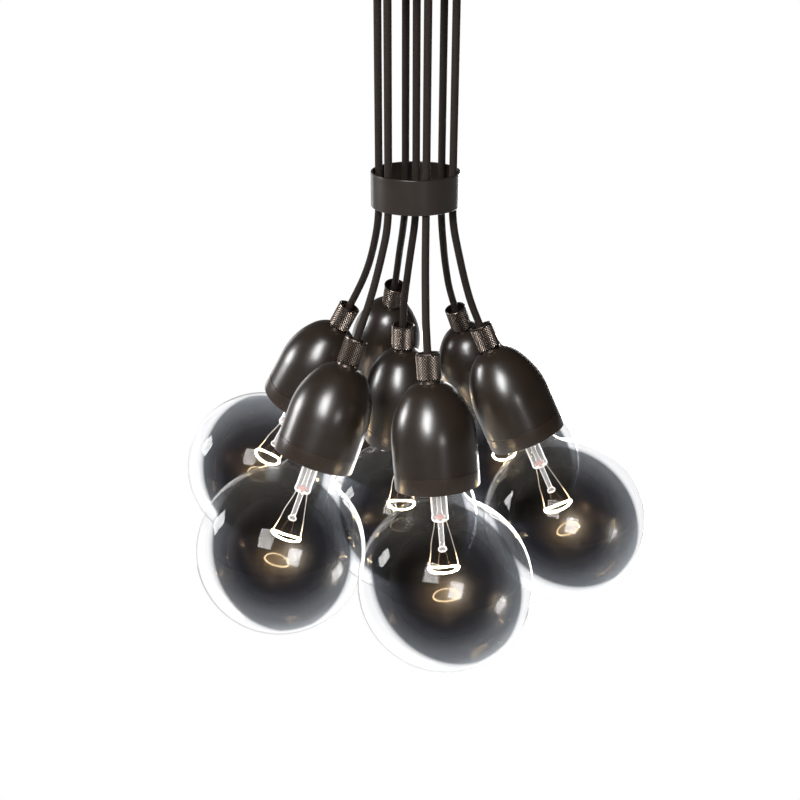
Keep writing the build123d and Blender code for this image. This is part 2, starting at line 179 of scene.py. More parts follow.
def joined(parts):
    # one mesh of several (points, faces, material number)
    points, faces, owners = [], [], []
    for partPoints, partFaces, number in parts:
        start = len(points)
        points += list(partPoints)
        faces += [tuple(i + start for i in face) for face in partFaces]
        owners += [number] * len(partFaces)
    return points, faces, owners


# lamp places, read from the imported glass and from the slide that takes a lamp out

slideAxes = {j["child"]: Vector(j["axis"]) for j in frame["joints"] if j["type"] == "slide"}
globeRadius = 62.5


def lampMatrix(name):
    low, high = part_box(name + "_glass")
    centre = Vector(((low[0] + high[0]) / 2, (low[1] + high[1]) / 2, low[2] + globeRadius * mm))
    up = -slideAxes[name + "_lamp"].normalized()
    right = Vector((0, 1, 0)).cross(up).normalized()
    turn = Matrix((right, up.cross(right), up)).transposed().to_4x4()
    return Matrix.Translation(centre) @ turn


def pendantBody(name):
    return "ceiling_mount" if name == "middle" else name + "_pendant"


def onEachLamp(first, node, onLamp):
    # the same mesh on all seven lamps, in each one's own frame
    kind = first.name
    for name in lampNames:
        obj = first if name == lampNames[0] else bpy.data.objects.new(kind, first.data)
        obj.name = name + "_" + kind
        if obj is not first:
            scene.collection.objects.link(obj)
        obj.matrix_world = lampMatrix(name)
        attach(obj, name + "_lamp" if onLamp else pendantBody(name))
        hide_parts(name + "_" + node)


# material helpers

def newMaterial(name):
    material = bpy.data.materials.new(name)
    material.use_nodes = True
    return material, material.node_tree, material.node_tree.nodes["Principled BSDF"]


def feed(tree, node, inputs):
    for key, value in inputs.items():
        if isinstance(value, bpy.types.NodeSocket):
            tree.links.new(value, node.inputs[key])
        else:
            node.inputs[key].default_value = value


def addNode(tree, kind, inputs=None, **settings):
    made = tree.nodes.new("ShaderNode" + kind)
    for key, value in settings.items():
        setattr(made, key, value)
    feed(tree, made, inputs or {})
    return made


def rgba(colour):
    return (*colour, 1) if isinstance(colour, tuple) and len(colour) == 3 else colour


def maths(tree, operation, a, b=0.0):
    return addNode(tree, "Math", {0: a, 1: b}, operation=operation).outputs[0]


def mapped(tree, value, start, end, low=0.0, high=1.0):
    return addNode(tree, "MapRange", {0: value, 1: start, 2: end, 3: low, 4: high}).outputs[0]


def ramp(tree, factor, stops):
    made = addNode(tree, "ValToRGB", {0: factor})
    band = made.color_ramp
    grey = [(at, (c, c, c) if isinstance(c, (int, float)) else c) for at, c in stops]
    for element, (at, colour) in zip(band.elements, (grey[0], grey[-1])):
        element.position, element.color = at, rgba(colour)
    for at, colour in grey[1:-1]:
        band.elements.new(at).color = rgba(colour)
    return made.outputs[0]


def mixed(tree, factor, a, b):
    return addNode(tree, "Mix", {0: factor, 6: rgba(a), 7: rgba(b)}, data_type="RGBA").outputs[2]


def noise(tree, where, scale, detail=3.0, roughness=0.5):
    inputs = {"Vector": where, "Scale": scale, "Detail": detail, "Roughness": roughness}
    return addNode(tree, "TexNoise", inputs).outputs[0]


def bump(tree, height, distance, strength=1.0):
    inputs = {"Height": height, "Strength": strength, "Distance": distance}
    return addNode(tree, "Bump", inputs).outputs[0]


def objectPlace(tree):
    return addNode(tree, "TexCoord").outputs["Object"]


def heightOf(tree, where):
    return addNode(tree, "SeparateXYZ", {0: where}).outputs[2]


def facingOf(tree):
    return addNode(tree, "LayerWeight", {0: 0.5}).outputs["Facing"]


def clearShader(tree, tint=(1, 1, 1, 1)):
    return addNode(tree, "BsdfTransparent", {0: tint}).outputs[0]


def glossyShader(tree, colour, roughness):
    return addNode(tree, "BsdfGlossy", {"Color": rgba(colour), "Roughness": roughness}).outputs[0]


def mixedShader(tree, share, a, b):
    return addNode(tree, "MixShader", {0: share, 1: a, 2: b}).outputs[0]


def toSurface(tree, shader):
    tree.links.new(shader, tree.nodes["Material Output"].inputs["Surface"])


# cords: fabric braid on seven round leads

cords = {
    "diameter": 5.5,
    "sides": 18,
    "ringStep": 1.5,
    "curveSteps": 48,
    "gripEnd": -42.5,  # lower end of the grips under the cover, where the cords come out
    "bendStart": -196.0,
    "bendEnd": -246.0,
    "threadsAround": 9,
    "threadColour": (0.011, 0.0072, 0.0056),
    # painted shade: colour of the braid's low parts, darker than the threads
    "creaseShadeColour": (0.003, 0.002, 0.0017),
    "fuzzColour": (0.015, 0.0100, 0.0080),
    "fuzzScale": 2600,
    "fuzzHeight": 0.35,
    "relief": 0.22,
    "reliefStrength": 0.9,
    "roughness": [(0.3, 0.62), (0.7, 0.8)],
    "specular": 0.12,
    "sheen": 0.02,
    "sheenRoughness": 0.4,
    "routes": {  # length of the lead, and the control points of its curve, in mm
        "front": (289.0, [
            (7.0, -26.1, -20), (7.0, -26.1, -171), (7.0, -26.1, -204), (6.5, -41.5, -225.5),
            (6.5, -57.5, -245.5), (6.8, -68.4, -266.8), (9.2, -75.7, -295.8)]),
        "right": (288.2, [
            (26.1, -7.0, -20), (26.1, -7.0, -171), (26.1, -7.0, -204), (31.5, -4.0, -229.0),
            (37.0, 1.0, -252.5), (43.8, 4.1, -275.5), (56.1, -1.8, -302.2)]),
        "back_right": (301.3, [
            (19.1, 19.1, -20), (19.1, 19.1, -171), (19.1, 19.1, -204), (21.5, 32.5, -230.5),
            (24.5, 47.0, -255.5), (29.2, 58.1, -282.0), (38.6, 63.3, -310.0)]),
        "back": (286.7, [
            (-7.0, 26.1, -20), (-7.0, 26.1, -171), (-7.0, 26.1, -204), (-9.0, 39.5, -225.5),
            (-11.5, 53.0, -245.5), (-13.6, 64.9, -265.9), (-17.1, 75.6, -293.7)]),
        "back_left": (288.9, [
            (-26.1, 7.0, -20), (-26.1, 7.0, -171), (-26.1, 7.0, -204), (-30.0, 17.0, -228.0),
            (-35.5, 27.5, -250.5), (-44.3, 32.9, -271.9), (-58.2, 34.9, -298.4)]),
        "left": (285.3, [
            (-19.1, -19.1, -20), (-19.1, -19.1, -171), (-19.1, -19.1, -204), (-24.5, -23.5, -228.0),
            (-30.5, -28.5, -250.5), (-37.6, -33.4, -271.5), (-48.0, -40.7, -298.7)]),
        "middle": (288.5, [
            (0.0, 0.0, -20), (0.4, 1.2, -171), (0.5, 1.5, -204), (-3.0, 6.0, -230.0),
            (-6.0, 10.0, -254.5), (-8.6, 12.5, -277.2), (-8.9, 11.7, -307.2)]),
    },
}


def braidMaterial(c):
    material, tree, shader = newMaterial("cord braid")
    split = addNode(tree, "SeparateXYZ", {0: addNode(tree, "TexCoord").outputs["UV"]})
    around = maths(tree, "MULTIPLY", split.outputs[0], full * c["threadsAround"])
    along = maths(tree, "MULTIPLY", split.outputs[1], full * c["threadsAround"])
    rising = maths(tree, "SINE", maths(tree, "ADD", around, along))
    falling = maths(tree, "SINE", maths(tree, "SUBTRACT", around, along))
    # the product of the two waves, brought from -1..1 to 0..1
    weave = maths(tree, "MULTIPLY_ADD", maths(tree, "MULTIPLY", rising, falling), 0.5)
    weave.node.inputs[2].default_value = 0.5
    fuzz = noise(tree, objectPlace(tree), c["fuzzScale"], 2)
    # the low parts of the weave take the darker colour: painted shade in the braid's crevices
    thread = mixed(tree, weave, c["creaseShadeColour"], c["threadColour"])
    height = maths(tree, "ADD", weave, maths(tree, "MULTIPLY", fuzz, c["fuzzHeight"]))
    feed(tree, shader, {
        "Base Color": mixed(tree, fuzz, thread, c["fuzzColour"]),
        "Normal": bump(tree, height, c["relief"] * mm, c["reliefStrength"]),
        "Roughness": ramp(tree, fuzz, c["roughness"]),
        "Specular IOR Level": c["specular"],
        "Sheen Weight": c["sheen"],
        "Sheen Roughness": c["sheenRoughness"],
    })
    return material


def routeLine(c, points):
    # a smooth curve by the control points, as evenly spaced points in metres
    curve = bpy.data.curves.new("route", "CURVE")
    curve.dimensions = "3D"
    spline = curve.splines.new("NURBS")
    spline.points.add(len(points) - 1)
    for control, (x, y, z) in zip(spline.points, points):
        control.co = (x * mm, y * mm, z * mm, 1)
    spline.order_u = 3
    spline.use_endpoint_u = True
    spline.resolution_u = c["curveSteps"]
    holder = bpy.data.objects.new("route", curve)
    mesh = bpy.data.meshes.new_from_object(holder)
    fine = [v.co.copy() for v in mesh.vertices]
    bpy.data.objects.remove(holder)
    bpy.data.curves.remove(curve)
    bpy.data.meshes.remove(mesh)
    total = sum((b - a).length for a, b in zip(fine, fine[1:]))
    count = round(total / (c["ringStep"] * mm))
    even, travelled, i = [fine[0]], 0, 0
    for n in range(1, count):
        target = total * n / count
        while travelled + (fine[i + 1] - fine[i]).length < target:
            travelled += (fine[i + 1] - fine[i]).length
            i += 1
        share = (target - travelled) / (fine[i + 1] - fine[i]).length
        even.append(fine[i].lerp(fine[i + 1], share))
    return even + [fine[-1]]


def makeCords(c):
    material = braidMaterial(c)
    for name, (length, points) in c["routes"].items():
        line = routeLine(c, points)
        tube = sweep(line, c["diameter"] / 2 * mm, c["sides"])
        obj = newObject(name + "_cord_braid", tube[0], tube[1], [material], uvs=tube[2])
        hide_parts(name + "_cord")
        if name == "middle":
            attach(obj, "ceiling_mount")
        else:
            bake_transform(obj)


makeCords(cords)
print("cords:", len(cords["routes"]))


# bronze paint of the cups, the cover, the band and the cap nuts

paint = {
    "colour": (0.0098, 0.0066, 0.0047),
    "patch": (0.0118, 0.0080, 0.0058),
    "patchScale": 55,
    "lipColour": (0.0145, 0.0090, 0.0058),
    "lipBlend": 0.6,
    "roughness": (0.27, 0.31),
    "peel": 0.014,
    "peelScale": 420,
    "peelStrength": 0.8,
    "grainScale": 1500,
    "grainShare": 0.4,
}


def paintMaterial(c, name, lipHeight=None):
    material, tree, shader = newMaterial(name)
    where = objectPlace(tree)
    cloud = noise(tree, where, c["patchScale"], 4)
    grain = noise(tree, where, c["grainScale"], 2)
    colour = mixed(tree, ramp(tree, cloud, [(0.35, 0), (0.65, 1)]), c["colour"], c["patch"])
    if lipHeight:
        edge = lipHeight * mm
        below = mapped(tree, heightOf(tree, where), edge, edge + c["lipBlend"] * mm, 1.0, 0.0)
        colour = mixed(tree, below, colour, c["lipColour"])
    low, high = c["roughness"]
    fine = maths(tree, "MULTIPLY", grain, c["grainShare"])
    peel = maths(tree, "ADD", noise(tree, where, c["peelScale"], 3), fine)
    feed(tree, shader, {
        "Base Color": colour,
        "Roughness": ramp(tree, cloud, [(0.3, low), (0.7, high)]),
        "Normal": bump(tree, peel, c["peel"] * mm, c["peelStrength"]),
    })
    return material


# cups: a spun shell with a thin groove above its mouth

cup = {
    "radius": 30.0,
    "wall": 1.5,
    "mouth": 72.0,
    "lipRound": 0.5,
    "lipBevel": 0.15,
    "groove": 83.5,
    "grooveWidth": 0.8,
    "grooveDepth": 0.4,
    "grooveRound": 0.12,
    "grooveBevel": 0.1,
    "grooveCorner": 0.08,
    "sideRing": 94.0,
    "domeFoot": 105.0,
    "crownCentre": 123.8,
    "crownRadius": 24.0,
    "arcSteps": 14,
    "seat": 145.84,
    "hole": 5.05,
    "around": 112,
    "sharpAngle": 35,
}


def cupOutline(c):
    rise = c["crownCentre"] - c["domeFoot"]
    inward = c["radius"] - c["crownRadius"]
    side = c["crownRadius"] + (inward**2 + rise**2) / (2 * inward)
    turn = math.degrees(math.asin(rise / (side - c["crownRadius"])))

    def dome(inset, top):
        crown = c["crownRadius"] - inset
        topTurn = math.degrees(math.asin((top - c["crownCentre"]) / crown))
        wide = arc(c["radius"] - side, c["domeFoot"], side - inset, 0, turn, c["arcSteps"])
        return wide + arc(0, c["crownCentre"], crown, turn, topTurn, c["arcSteps"])[1:]

    r, w, m, g = c["radius"], c["wall"], c["mouth"], c["groove"]
    bend, bevel = c["lipRound"], c["lipBevel"]
    lip = [(r - w, m + bend), (r - w + bevel, m + bevel), (r - w + bend, m),
           (r - bend, m), (r - bevel, m + bevel), (r, m + bend)]
    up, deep = g + c["grooveWidth"], r - c["grooveDepth"]
    bend, bevel, corner = c["grooveRound"], c["grooveBevel"], c["grooveCorner"]
    ring = [(r, g - bend), (r - bevel, g), (deep, g + corner),
            (deep, up - corner), (r - bevel, up), (r, up + bend)]
    top = [(c["hole"], c["seat"]), (c["hole"], c["seat"] - w)]
    outside = lip + ring + [(r, c["sideRing"])] + dome(0, c["seat"])
    return outside + top + dome(w, c["seat"] - w)[::-1] + [(r - w, c["sideRing"])]


def makeCups(c):
    points, faces, _ = lathe(cupOutline(c), c["around"], closed=True)
    material = paintMaterial(paint, "bronze cup paint", lipHeight=c["groove"])
    shade = newObject("cup_shade", points, faces, [material], sharpAngle=c["sharpAngle"])
    onEachLamp(shade, "cup", onLamp=False)


makeCups(cup)
print("cups: 7")


# cord grips: a knurled barrel with a plain rim, cut as rows of pyramids

grip = {
    "radius": 8.55,
    "foot": 7.8,
    "footHeight": 0.8,
    "shoulder": 0.9,
    "seat": 145.84,
    "height": 20.5,
    "knurlStart": 1.0,  # above the foot
    "plainRim": 1.1,
    "rimStep": 0.12,
    "rimWall": 1.3,
    "rimRound": 0.2,
    "mouthRound": 0.15,
    "recess": 5.0,
    "bore": 3.2,
    "spigot": 4.95,
    "spigotLength": 7.5,
    "around": 26,
    "rows": 16,
    "cut": 0.62,
    "sharpAngle": 25,
    "knurlRoughness": 0.34,
    "plainRoughness": 0.24,
}

pewter = {
    "dark": (0.10, 0.078, 0.066),
    "light": (0.19, 0.152, 0.130),
    "patchScale": 240,
    "roughnessSpread": 0.15,
    "grain": 0.012,
    "grainScale": 2200,
    # painted shade: the knurl's valleys are coloured darker than its tips
    "valleyShadeColour": (0.022, 0.016, 0.013),
    "tipColour": (0.30, 0.25, 0.215),
    "cutReach": 8.02,  # distances from the axis between which the cut's colour turns to the tip's
    "tipReach": 8.46,
}


def pewterMaterial(c, name, roughness, knurled):
    material, tree, shader = newMaterial(name)
    where = objectPlace(tree)
    patch = noise(tree, where, c["patchScale"], 4, 0.6)
    # colour by distance from the axis: painted shade in the knurl's valleys, the tips' colour outside
    if knurled:
        flat = addNode(tree, "VectorMath", {0: where, 1: (1, 1, 0)}, operation="MULTIPLY").outputs[0]
        reach = addNode(tree, "VectorMath", {0: flat}, operation="LENGTH").outputs["Value"]
        valleyShadeMask = mapped(tree, reach, c["cutReach"] * mm, c["tipReach"] * mm)
        metal = mixed(tree, valleyShadeMask, c["valleyShadeColour"], c["tipColour"])
    else:
        metal = mixed(tree, ramp(tree, patch, [(0.25, 0), (0.75, 1)]), c["dark"], c["light"])
    feed(tree, shader, {
        "Base Color": metal,
        "Roughness": ramp(tree, patch, [(0.3, roughness), (0.75, roughness + c["roughnessSpread"])]),
        "Normal": bump(tree, noise(tree, where, c["grainScale"], 2), c["grain"] * mm),
        "Metallic": 1.0,
    })
    return material


def makeGrips(c):
    n, r, seat, top = c["around"], c["radius"], c["seat"], c["seat"] + c["height"]
    valley, inner = r - c["cut"], r - c["rimWall"]
    foot, deep = seat + c["footHeight"], seat - c["spigotLength"]
    low, high = foot + c["knurlStart"], top - c["plainRim"]
    below = [(c["bore"], top - c["recess"]), (c["bore"], deep), (c["spigot"], deep), (c["spigot"], seat),
             (c["foot"], seat), (c["foot"], foot), (r - c["shoulder"], foot), (valley, low)]
    above = [(valley, high), (r, high + c["rimStep"]), (r, top - c["rimRound"]), (r - c["rimRound"], top),
             (inner + c["mouthRound"], top), (inner, top - c["mouthRound"]),
             (inner, top - c["recess"]), (c["bore"], top - c["recess"])]
    points, faces, owners = [], [], []

    def ringOf(radius, z, shift):
        start = len(points)
        for k in range(n):
            a = full * (k + shift) / n
            points.append((radius * mm * math.cos(a), radius * mm * math.sin(a), z * mm))
        return start

    def plainBands(outline):
        rings = [ringOf(x, z, 0) for x, z in outline]
        for first, second in zip(rings, rings[1:]):
            for k in range(n):
                m = (k + 1) % n
                faces.append((first + k, first + m, second + m, second + k))
                owners.append(1)
        return rings

    step = (high - low) / c["rows"]
    rows = [plainBands(below)[-1]]
    for i in range(1, c["rows"]):
        rows.append(ringOf(valley, low + i * step, (i % 2) / 2))
    rows.append(plainBands(above)[0])
    for i, row in enumerate(rows):
        shift, inside = i % 2, 0 < i < c["rows"]
        tips = ringOf(r, low + i * step, (1 + shift) / 2) if inside else None
        for k in range(n):
            left, right, over = row + k, row + (k + 1) % n, (k + shift) % n
            up = rows[i + 1] + over if i < c["rows"] else None
            down = rows[i - 1] + over if i else None
            if inside:
                tip = tips + k
                made = [(left, down, tip), (down, right, tip), (right, up, tip), (up, left, tip)]
            else:
                made = [(left, down, right) if i else (left, right, up)]
            faces.extend(made)
            owners.extend([0] * len(made))
    knurl = pewterMaterial(pewter, "knurled pewter", c["knurlRoughness"], knurled=True)
    plain = pewterMaterial(pewter, "turned pewter", c["plainRoughness"], knurled=False)
    obj = newObject("grip_knurled", points, faces, [knurl, plain], owners, sharpAngle=c["sharpAngle"])
    onEachLamp(obj, "cord_grip", onLamp=False)


makeGrips(grip)
print("cord grips: 7, knurled")


# lamp glass: one thin shell, with its outer and inner faces finished apart

glass = {
    "wall": 0.9,
    "shoulder": 26.0,
    "neck": 15.0,
    "neckEnd": 12.2,
    "neckEndHeight": 86.9,
    "top": 101.9,
    "lowestTurn": -87.5,
    "globeSteps": 62,
    "shoulderSteps": 14,
    "around": 112,
    "sharpAngle": 60,
    # painted dark outline: the clear outer face turns darker where it is seen edge-on
    "paintedOutline": [(0.0, 1.0), (0.80, 0.98), (0.87, 0.5), (1.0, 0.2)],
    "outerShare": [(0.0, 0.008), (0.45, 0.02), (0.7, 0.07), (0.85, 0.22), (1.0, 0.45)],
    "outerRoughness": 0.03,
    # painted shade of the inner face by how squarely it is seen: dark at the middle of the view
    "paintedDark": [
        (0.0, (0.007, 0.007, 0.010)), (0.14, (0.009, 0.010, 0.015)), (0.25, (0.040, 0.043, 0.052)),
        (0.36, (0.090, 0.098, 0.112)), (0.55, (0.15, 0.165, 0.185)), (0.8, (0.35, 0.38, 0.41)),
        (1.0, (0.5, 0.52, 0.54))],
    "rim": [(0.0, 0.0), (0.50, 0.0), (0.56, 0.7), (0.63, 1.0), (1.0, 1.0)],
    "rimColour": (0.97, 0.98, 1.0),
    "driftAside": 0.87,
    "driftUp": 0.50,
    "drift": (12.0, 60.0),
    "shift": (-0.22, 0.15),
    "sharpColour": (0.9, 0.93, 1),
    "sharpRoughness": 0.015,
    "sharpShare": 0.013,
    "hazeColour": (1, 0.88, 0.7),
    "hazeRoughness": 0.30,
    "hazeShare": 0.020,
}


def glassOutline(c, inset):
    r, s, neck = globeRadius - inset, c["shoulder"] + inset, c["neck"] - inset
    x = neck + s
    z = math.sqrt((r + s) ** 2 - x**2)
    side = math.degrees(math.atan2(z, x))
    outline = [(0, -r)] + arc(0, 0, r, c["lowestTurn"], side, c["globeSteps"])
    outline += arc(x, z, s, 180 + side, 180, c["shoulderSteps"])[1:]
    return outline + [(c["neckEnd"] - inset, c["neckEndHeight"]), (c["neckEnd"] - inset, c["top"])]


def seenFromFront(tree, front):
    # a face seen from behind is plain clear, so each wall of the shell is finished once
    back = addNode(tree, "NewGeometry").outputs["Backfacing"]
    toSurface(tree, mixedShader(tree, back, front, clearShader(tree)))


def outerGlassMaterial(c):
    material, tree, _ = newMaterial("clear glass, outer face")
    facing = facingOf(tree)
    # clear, with a painted dark outline where the face is seen edge-on
    clear = clearShader(tree, ramp(tree, facing, c["paintedOutline"]))
    shine = glossyShader(tree, (1, 1, 1), c["outerRoughness"])
    seenFromFront(tree, mixedShader(tree, ramp(tree, facing, c["outerShare"]), clear, shine))
    return material


def innerGlassMaterial(c):
    # painted shade: dark at the middle of the view and near white at its rim, and the clear rim is painted
    # wider away from a slanting plane, so one side reads lighter
    material, tree, _ = newMaterial("glass inner face, painted dark centre")
    facing = facingOf(tree)
    split = addNode(tree, "SeparateXYZ", {0: objectPlace(tree)})
    aside = maths(tree, "MULTIPLY", split.outputs[0], c["driftAside"])
    upward = maths(tree, "MULTIPLY", split.outputs[2], c["driftUp"])
    drift = maths(tree, "ABSOLUTE", maths(tree, "ADD", aside, upward))
    near, far = c["drift"]
    shift = mapped(tree, drift, near * mm, far * mm, *c["shift"])
    rim = ramp(tree, maths(tree, "ADD", facing, shift), c["rim"])
    paintedDark = mixed(tree, rim, ramp(tree, facing, c["paintedDark"]), c["rimColour"])
    # the painted shade is shown to camera rays only
    direct = addNode(tree, "LightPath").outputs["Is Camera Ray"]
    tint = mixed(tree, direct, (1, 1, 1), paintedDark)  # lamps and mirrored rays pass it as plain clear glass
    sharp = glossyShader(tree, c["sharpColour"], c["sharpRoughness"])
    haze = glossyShader(tree, c["hazeColour"], c["hazeRoughness"])
    hazy = mixedShader(tree, c["hazeShare"], clearShader(tree, tint), haze)
    seenFromFront(tree, mixedShader(tree, c["sharpShare"], hazy, sharp))
    return material


def makeGlass(c):
    outer, inner = glassOutline(c, 0), glassOutline(c, c["wall"])
    points, faces, owners = lathe(outer + inner[::-1], c["around"])
    numbers = [0 if i < len(outer) else 1 for i in owners]
    materials = [outerGlassMaterial(c), innerGlassMaterial(c)]
    obj = newObject("globe", points, faces, materials, numbers, sharpAngle=c["sharpAngle"])
    onEachLamp(obj, "glass", onLamp=True)


makeGlass(glass)
print("globes: 7")


# plain metals and plastics

metal = {"patchScale": 180, "roughnessSpread": 0.12, "grainScale": 1400, "grain": 0.01, "metallic": 1.0}
plastic = {"patchScale": 90, "roughnessSpread": 0.1, "grainScale": 900, "grain": 0.02, "metallic": 0.0}


def plainMaterial(c, name, dark, light, roughness):
    material, tree, shader = newMaterial(name)
    where = objectPlace(tree)
    patch = noise(tree, where, c["patchScale"], 4)
    feed(tree, shader, {
        "Base Color": mixed(tree, patch, dark, light),
        "Roughness": ramp(tree, patch, [(0.3, roughness), (0.7, roughness + c["roughnessSpread"])]),
        "Normal": bump(tree, noise(tree, where, c["grainScale"], 3), c["grain"] * mm),
        "Metallic": c["metallic"],
    })
    return material


brass = plainMaterial(metal, "satin brass", (0.50, 0.33, 0.13), (0.70, 0.50, 0.24), 0.28)


# screw caps of the lamps

screwCap = {
    "radius": 13.0,
    "wall": 1.3,
    "footRound": 0.4,
    "foot": 85.9,
    "top": 107.9,
    "topRound": 1.0,
    "topWall": 1.4,
    "hole": 6.5,
    "holeLift": 0.25,
    "pitch": 3.6,
    "threadDepth": 0.8,
    "threadStart": 2.2,  # above the foot
    "threadStop": 2.4,  # below the top
    "threadFade": 1.5,
    "threadSteps": 40,
    "insulatorFoot": 9.5,
    "insulatorLift": 0.2,
    "insulatorTop": 111.5,
    "insulatorRound": (1.0, 0.5),
    "contact": 4.5,
    "contactEdge": 0.4,
    "contactRound": 1.0,
    "around": 48,
    "insulatorColours": ((0.010, 0.010, 0.011), (0.022, 0.022, 0.024)),
    "insulatorRoughness": 0.25,
}


def makeCaps(c):
    low, high = c["foot"] + c["threadStart"], c["top"] - c["threadStop"]

    def thread(r, a, z):
        if not low <= z <= high:
            return r
        fade = min(1, (z - low) / c["threadFade"], (high - z) / c["threadFade"])
        wave = 0.5 - 0.5 * math.cos(full * (z / c["pitch"]) - a)
        return r - c["threadDepth"] * fade * wave

    r, foot, top, peak, contact = c["radius"], c["foot"], c["top"], c["insulatorTop"], c["contact"]
    inner, lift, (aside, under) = r - c["wall"], top + c["insulatorLift"], c["insulatorRound"]
    shell = [(inner, top - c["topWall"]), (inner, foot), (r - c["footRound"], foot), (r, foot)]
    shell += [(r, low + (high - low) * i / c["threadSteps"]) for i in range(c["threadSteps"] + 1)]
    shell += [(r, top - c["topRound"]), (r - c["topRound"], top), (c["hole"], top + c["holeLift"])]
    block = [(c["hole"], lift), (c["insulatorFoot"], lift), (contact + aside, peak - under), (contact, peak)]
    tipTop = peak + c["contactRound"]
    tip = [(contact, peak), (contact, peak + c["contactEdge"]),
           (contact - c["contactRound"], tipTop), (0, tipTop)]
    parts = [(*lathe(shell, c["around"], shape=thread)[:2], 0)]
    parts += [(*lathe(block, c["around"])[:2], 1), (*lathe(tip, c["around"])[:2], 0)]
    points, faces, owners = joined(parts)
    black = plainMaterial(plastic, "cap insulator", *c["insulatorColours"], c["insulatorRoughness"])
    obj = newObject("screw_cap", points, faces, [brass, black], owners)
    onEachLamp(obj, "lamp_cap", onLamp=True)


makeCaps(screwCap)
print("screw caps: 7")


# filament mount: stem tube, rod with a bead, two leads, two supports and a coiled ring

mount = {
    "stem": [  # outlines are (radius, height over the globe's centre)
        (1.2, 47.7), (3.2, 46.6), (4.9, 46.2), (5.9, 47.1), (6.15, 48.4), (5.9, 49.8),
        (5.65, 51.7), (5.8, 55.2), (5.8, 74.0), (6.4, 80.0), (9.5, 88.0), (11.0, 93.0)],
    "tube": [(2.2, 51.2), (1.7, 54.2), (1.7, 84.0)],
    "rod": [(1.8525, 26.6), (1.95, 44.7), (2.4375, 47.4)],
    "seal": [(0, 47.9), (3.3, 48.1), (3.9, 48.9), (2.2, 50.4), (0, 50.6)],
    "bead": (3.2, 2.1, 25.0),  # half width, half height, height of its middle
    "beadTurns": (-70, 61, 13),
    "turnedSides": 40,
    "sealSides": 24,
    "ring": 10.8,
    "ringHeight": 11.3,
    "frontSag": 0.3,
    "backSag": 3.5,
    "sagPower": 1.3,
    "coil": 0.60,
    "coilPitch": 0.52,
    "coilSteps": 9,
    "wire": 0.10,
    "wireSides": 5,
    "leads": (  # bends of each lead before it meets the ring
        [(-4.0, 0, 46.8), (-4.9, 0.2, 41), (-7.6, 0.4, 30), (-8.6, 0.2, 22)],
        [(4.0, 0, 46.8), (6.2, 0, 37), (9.6, 0, 20)],
    ),
    "lead": 0.28,
    "leadSides": 8,
    "supportBends": [(1.6, 0.3, 23.5), (3.0, 5.2, 17.5)],
    "supportEnd": 4.0,
    "support": 0.09,
    "supportSides": 6,
    "bendSteps": 6,
    "stemColour": (0.86, 0.85, 0.84, 1),
    "stemRoughness": 0.12,
    # painted glow: colour and level of a faint emission on the stem glass
    "stemPaintedGlow": (1.0, 0.97, 0.94, 1),
    "stemGlowLevel": 0.25,
    "stemShare": [(0.0, 0.10), (0.35, 0.20), (0.55, 0.75), (0.7, 0.95), (1.0, 1.0)],
    "streakScale": 420,
    "streaks": [(0.3, 0.75), (0.6, 1.0)],
    "sealColours": ((0.25, 0.10, 0.09), (0.45, 0.26, 0.24)),
    "sealRoughness": 0.2,
    "leadColour": (0.75, 0.68, 0.60, 1),
    "leadRoughness": 0.3,
    "leadHeat": (26.0, 11.5),  # heights between which the lead grows hot
    "leadHeatPower": 1.6,
    # faint painted glow given to the cool part of the leads
    "leadPaintedGlow": (0.10, 0.09, 0.08),
    "leadHot": (2.6, 1.75, 0.85),
    "supportColours": ((0.12, 0.09, 0.07), (0.2, 0.15, 0.11)),
    "supportRoughness": 0.4,
    "coilColour": (0.3, 0.2, 0.1, 1),
    "coilLights": ((1.0, 0.66, 0.30), (1.0, 0.80, 0.50)),
    "coilScale": 300,
    "glow": 90.0,
    "lampPower": 0.010,
    "lampColour": (1.0, 0.70, 0.36),
    "lampRadius": 8.0,
}


def stemGlassMaterial(c):
    material, tree, shader = newMaterial("stem glass")
    streak = noise(tree, objectPlace(tree), c["streakScale"], 2)
    share = ramp(tree, facingOf(tree), c["stemShare"])
    share = maths(tree, "MULTIPLY", share, ramp(tree, streak, c["streaks"]))
    # the stem is given a faint emission: painted glow on the glass
    feed(tree, shader, {
        "Base Color": c["stemColour"],
        "Roughness": c["stemRoughness"],
        "Emission Color": c["stemPaintedGlow"],
        "Emission Strength": c["stemGlowLevel"],
    })
    toSurface(tree, mixedShader(tree, share, clearShader(tree), shader.outputs[0]))
    return material


def hotWireMaterial(c):
    # nickel leads, lit by their own heat towards the ring, with a faint painted glow on their cool part as
    # well
    material, tree, shader = newMaterial("lead wire")
    cool, hot = c["leadHeat"]
    heat = mapped(tree, heightOf(tree, objectPlace(tree)), cool * mm, hot * mm)
    heat = maths(tree, "POWER", heat, c["leadHeatPower"])
    feed(tree, shader, {
        "Base Color": c["leadColour"],
        "Metallic": 1.0,
        "Roughness": c["leadRoughness"],
        "Emission Color": mixed(tree, heat, c["leadPaintedGlow"], c["leadHot"]),
        "Emission Strength": 1.0,
    })
    material.cycles.emission_sampling = "NONE"
    return material


def coilMaterial(c):
    material, tree, shader = newMaterial("glowing coil")
    feed(tree, shader, {
        "Base Color": c["coilColour"],
        "Emission Color": mixed(tree, noise(tree, objectPlace(tree), c["coilScale"], 2), *c["coilLights"]),
        "Emission Strength": c["glow"],
    })
    material.cycles.emission_sampling = "NONE"
    return material


